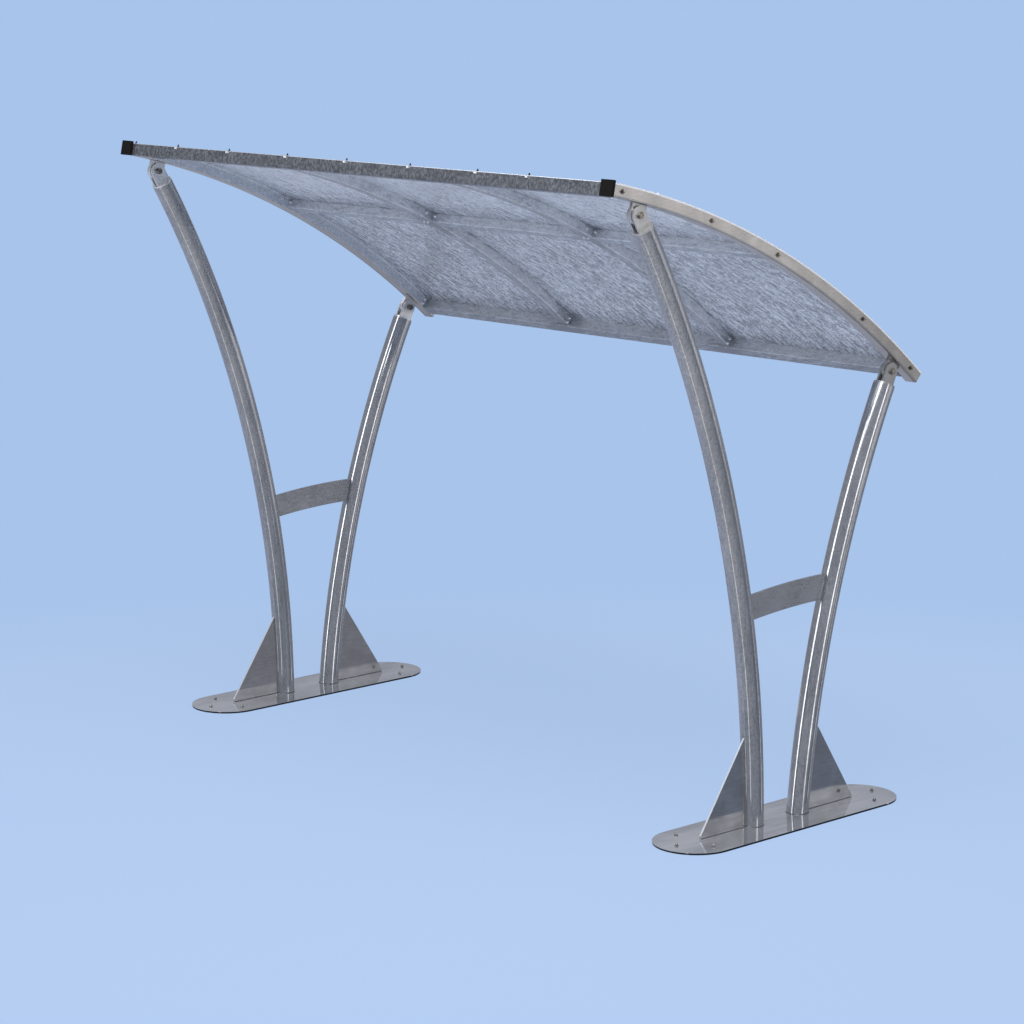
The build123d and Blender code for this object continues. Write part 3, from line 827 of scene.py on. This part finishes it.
# %% Bolts of the cleats and anchors of the plates
BOLT_DROP, BOLT_IN = 0.014, 0.010
UNDER_BACK, UNDER_APART = 0.030, 0.012
ANCHOR_RING = 0.1
purlin_front = PURLIN_ANGLE - PURLIN[0] / 2 / ROOF_RADIUS
beam_face = REAR_BEAM - BEAM_TURN
SIDE_BOLTS = ((purlin_front, 0.045, 0.016), (beam_face, 0.014, 0.013), (beam_face, 0.014, 0.034))
cleat_spots = []
for edge, way in [spot for _, x0, x1 in BAYS for spot in ((x0, 1), (x1, -1))]:
    cleat_spots.append((on_roof(ROOF_RADIUS - BOLT_DROP, purlin_front, edge + way * BOLT_IN), ahead(purlin_front)))
    for corner, before, inset in SIDE_BOLTS:
        seat = on_roof(ROOF_RADIUS - inset, corner - before / ROOF_RADIUS, edge)
        cleat_spots.append((seat, Vector((way, 0, 0))))
low_angle = PURLIN_ANGLE - UNDER_BACK / ROOF_RADIUS
for x in (-RAFTER_X - UNDER_APART, -RAFTER_X + UNDER_APART, RAFTER_X - UNDER_APART, RAFTER_X + UNDER_APART):
    cleat_spots.append((on_roof(ROOF_RADIUS - RAFTER[1], low_angle, x), -outward(low_angle)))
fasteners("cleat_bolts", cleat_spots, Flats=0.010, Height=0.004, Washer=0.012, Thickness=0.001, Stud=0.007,
          Reach=0.001)
END_Y = PLATE_LENGTH / 2 - PLATE_WIDTH / 2
fasteners("anchor_bolts",
          [(Vector((x + dx, FOOT_Y + way * (END_Y + dy), PLATE)), Vector((0, 0, 1)))
           for x in (-SIDE_X, SIDE_X) for way in (-1, 1)
           for dx, dy in ((-ANCHOR_RING, 0.0), (ANCHOR_RING, 0.0), (0.0, ANCHOR_RING))],
          anchor_zinc, Flats=0.011, Height=0.0015, Washer=0.016, Thickness=0.0012, Stud=0.013, Reach=0.0015)

# %% [markdown]
# Fillet welds join the posts and gussets to the floor plates. A welder's bead is a row of small overlapping
# ripples, so the tree resamples the seam at the ripple's pitch and swells a thin round bead at every second point.

# %% Welds
def weld_tree():
    tree, given = new_tree("weld_bead", Bead=0.0035, Pitch=0.004, Ripple=0.18)
    line = node(tree, "GeometryNodeMeshToCurve", {"Mesh": given["Geometry"]})
    steps = node(tree, "GeometryNodeResampleCurve", {"Curve": line, "Length": given["Pitch"]}, mode="LENGTH")
    index = node(tree, "GeometryNodeInputIndex")
    odd = node(tree, "Math", {0: index, 1: 2.0}, operation="MODULO")
    swell = node(tree, "Math", {0: odd, 1: given["Ripple"], 2: 1.0}, operation="MULTIPLY_ADD")
    width = node(tree, "Math", {0: swell, 1: given["Bead"]}, operation="MULTIPLY")
    ring = node(tree, "GeometryNodeCurvePrimitiveCircle", {"Resolution": 8, "Radius": 1.0})
    swept = node(tree, "GeometryNodeCurveToMesh",
                 {"Curve": steps, "Profile Curve": ring, "Scale": width, "Fill Caps": True})
    return close_tree(tree, given, swept)


RING_POINTS = 32
WELD_OFF = 0.004
turns = [2 * pi * k / RING_POINTS for k in range(RING_POINTS)]
points, edges = [], []
for x in (-SIDE_X, SIDE_X):
    for way, y in ((-1, FOOT_Y - FRONT_STANCE), (1, FOOT_Y + REAR_STANCE)):
        first = len(points)
        points += [Vector((x + TUBE / 2 * cos(a), y + TUBE / 2 * sin(a), PLATE)) for a in turns]
        edges += [(first + k, first + (k + 1) % RING_POINTS) for k in range(RING_POINTS)]
        for across in (-WELD_OFF, WELD_OFF):
            first = len(points)
            points.append(Vector((x + across, y + way * (TUBE / 2 + WELD_OFF), PLATE)))
            points.append(Vector((x + across, FOOT_Y + way * (GUSSET_REACH - WELD_OFF), PLATE)))
            edges.append((first, first + 1))
grow("foot_welds", weld_tree(), weld_zinc, points, edges, Bead=0.0022, Pitch=0.004)

# %% [markdown]
# The camera stands where the photographer stood: well back, a little above the roof's front edge, looking at the
# right front corner through a long lens. Its place comes from matching the shelter's corners and pins.

# %% Camera
AZIMUTH, ELEVATION = radians(47.304), radians(10.619)
CAMERA_AT = (9.2967, -8.5534, 3.4152)
FOCAL, PHOTO, SENSOR = 3045.0, 1024, 36
camera_data = bpy.data.cameras.new("camera")
camera_data.sensor_width = SENSOR
camera_data.sensor_fit = "HORIZONTAL"
camera_data.lens = FOCAL * SENSOR / PHOTO
camera_data.clip_end = 200
camera = add_object("camera", camera_data)
camera.location = CAMERA_AT
look = Vector((-sin(AZIMUTH) * cos(ELEVATION), cos(AZIMUTH) * cos(ELEVATION), -sin(ELEVATION)))
camera.rotation_euler = look.to_track_quat("-Z", "Y").to_euler()
bpy.context.scene.camera = camera
print("lens in mm:", round(camera_data.lens, 1))

# %% [markdown]
# The shelter stands in a plain pale blue studio. The floor shows the camera its own blue, a little paler round
# the shelter, and part of it is real paper that takes the shelter's soft shadow. Far off it is the same blue as
# the backdrop, which the world gives, so no horizon shows.

# %% Floor
BACKDROP = "A8C4EB"
CLEARING = (1.84, -1.70, 0.0)
PALER_TO, FAR_OFF = 4.4, 6.6
GLOW = 0.83
FLOOR_REACH = 60


def by_ray(tree, plain, mirrored, shown):
    """One shader for light that spreads, one for reflections, and one for the camera and through glass."""
    rays = node(tree, "LightPath", output=None)
    seen = node(tree, "Math", {0: rays["Is Camera Ray"], 1: rays["Is Transmission Ray"]}, operation="MAXIMUM")
    lit = node(tree, "MixShader", {0: rays["Is Glossy Ray"], 1: plain, 2: mirrored})
    return node(tree, "MixShader", {0: seen, 1: lit, 2: shown})


floor_blue = bpy.data.materials.new("floor_paper")
floor_blue.use_nodes = True
tree = floor_blue.node_tree
tree.nodes.clear()
place = node(tree, "TexCoord", output="Object")
away = node(tree, "VectorMath", {0: place, 1: CLEARING}, operation="DISTANCE", output="Value")
far_off = node(tree, "MapRange", {0: away, 1: PALER_TO, 2: FAR_OFF}, **SMOOTH)
tint = node(tree, "Mix", {0: far_off, 6: colour("ABC6EC"), 7: colour(BACKDROP)}, **COLOURS)
paper = node(tree, "BsdfDiffuse", {"Color": colour("C6D4EA")})
glow = node(tree, "Emission", {"Color": tint, "Strength": 1.0})
share = node(tree, "MapRange", {0: far_off, 3: GLOW, 4: 1.0})
shown = node(tree, "MixShader", {0: share, 1: paper, 2: glow})
clear = node(tree, "BsdfTransparent")
node(tree, "OutputMaterial", {"Surface": by_ray(tree, paper, clear, shown)}, output=None)
mesh = bmesh.new()
bmesh.ops.create_grid(mesh, x_segments=2, y_segments=2, size=FLOOR_REACH)
floor_data = bpy.data.meshes.new("floor")
mesh.to_mesh(floor_data)
mesh.free()
floor_data.materials.append(floor_blue)
floor = add_object("floor", floor_data)
print("floor faces:", len(floor_data.polygons))

# %% [markdown]
# Metal shows what stands round it, and long thin lights give a tube its lines. The world holds them, because lamps
# would also light the steel directly. Reflections see a warm grey room with a quarter of the backdrop's blue mixed
# in, a few upright strips of light, two dark flags low on the right with a pale wall above them, and soft light
# overhead. The camera sees the plain backdrop.

# %% Room and strips of light
world = bpy.data.worlds.new("studio")
bpy.context.scene.world = world
world.use_nodes = True
tree = world.node_tree
tree.nodes.clear()
way = node(tree, "SeparateXYZ", {0: node(tree, "TexCoord", output="Generated")}, output=None)
bearing = node(tree, "Math", {0: way[1], 1: way[0]}, operation="ARCTAN2")
height = node(tree, "MapRange", {0: way[2], 1: -1.0, 2: 1.0})
room = node(tree, "ValToRGB", {0: height},
            stops=((0.0, "CEC6BD"), (1.0, "98918A"), (0.2, "C6BEB5"), (0.37, "7D766F"), (0.5, "A09993")))


def panel(base, centre, width, lowest, highest, code, strength=1.0, soft=0.02):
    """Adds an upright panel at a bearing in degrees, between two heights on the unit sphere."""
    across = node(tree, "Math", {0: bearing, 1: radians(centre)}, operation="SUBTRACT")
    aside = node(tree, "Math", {0: across}, operation="ABSOLUTE")
    inside = node(tree, "MapRange",
                  {0: aside, 1: radians(width / 2 - 1), 2: radians(width / 2 + 1), 3: 1.0, 4: 0.0},
                  **SMOOTH)
    for edge, sign in ((lowest, 1), (highest, -1)):
        within = node(tree, "MapRange", {0: way[2], 1: edge - sign * soft, 2: edge + sign * soft}, **SMOOTH)
        inside = node(tree, "Math", {0: inside, 1: within}, operation="MULTIPLY")
    tint = colour(code, strength)
    return node(tree, "Mix", {0: inside, 6: base, 7: tint}, **COLOURS)


PANELS = (
    # Floor on the left, twice, because bearings jump from 180 to -180 there
    (180, 140, -1.1, -0.15, "BABAC6", 1.0, 0.08),
    (-180, 140, -1.1, -0.15, "BABAC6", 1.0, 0.08),
    # Dark flags low on the right, and the pale wall above them
    (34, 18, -0.38, -0.185, "5E4C34"),
    (52, 20, -0.38, -0.185, "3C2A0E"),
    (43, 40, -0.165, 0.20, "FFF6EE", 0.92),
    # Low strips, which the gussets and the posts' feet mirror
    (-66, 7, -1.1, -0.20, "FFFFFF", 1.6),
    (57, 5, -1.1, -0.20, "FFFFFF", 1.8),
    # Tall strips, which give the tubes their lines
    (-104, 14, -0.20, 0.72, "FFFFFF", 5.0),
    (3, 10, -0.20, 0.72, "FFFAF4", 3.4),
    # High light at the front left, and the soft light overhead
    (-146, 26, 0.58, 0.74, "FFFFFF", 3.0),
    (0, 400, 0.74, 1.1, "FFFFFF", 1.1, 0.06),
)
for measures in PANELS:
    room = panel(room, *measures)
print("panels in the room:", len(PANELS))
BACKDROP_SHARE, SOFT_LIGHT = 0.25, 0.75
mirrored = node(tree, "Mix", {0: BACKDROP_SHARE, 6: room, 7: colour(BACKDROP)}, **COLOURS)
reflected = node(tree, "Background", {"Color": mirrored, "Strength": 1.0})
soft_light = node(tree, "Background", {"Color": colour("E4E9F2"), "Strength": SOFT_LIGHT})
plain = node(tree, "Background", {"Color": colour(BACKDROP), "Strength": 1.0})
node(tree, "OutputWorld", {"Surface": by_ray(tree, soft_light, reflected, plain)}, output=None)

# %% [markdown]
# One large soft lamp overhead gives the shelter's shadow on the floor and lifts the sheet's edge.

# %% Lamp
lamp_data = bpy.data.lights.new("overhead", "AREA")
lamp_data.shape = "RECTANGLE"
lamp_data.size, lamp_data.size_y = 6.0, 5.0
lamp_data.energy = 420
lamp = add_object("overhead", lamp_data)
lamp.location = (2.0, -2.5, 6.5)
lamp.rotation_euler = (Vector((0, 0, 0.5)) - lamp.location).to_track_quat("-Z", "Y").to_euler()
print("lamp in m:", lamp_data.size, "x", lamp_data.size_y)

# %% Finish
bpy.context.scene.view_settings.view_transform = "Standard"
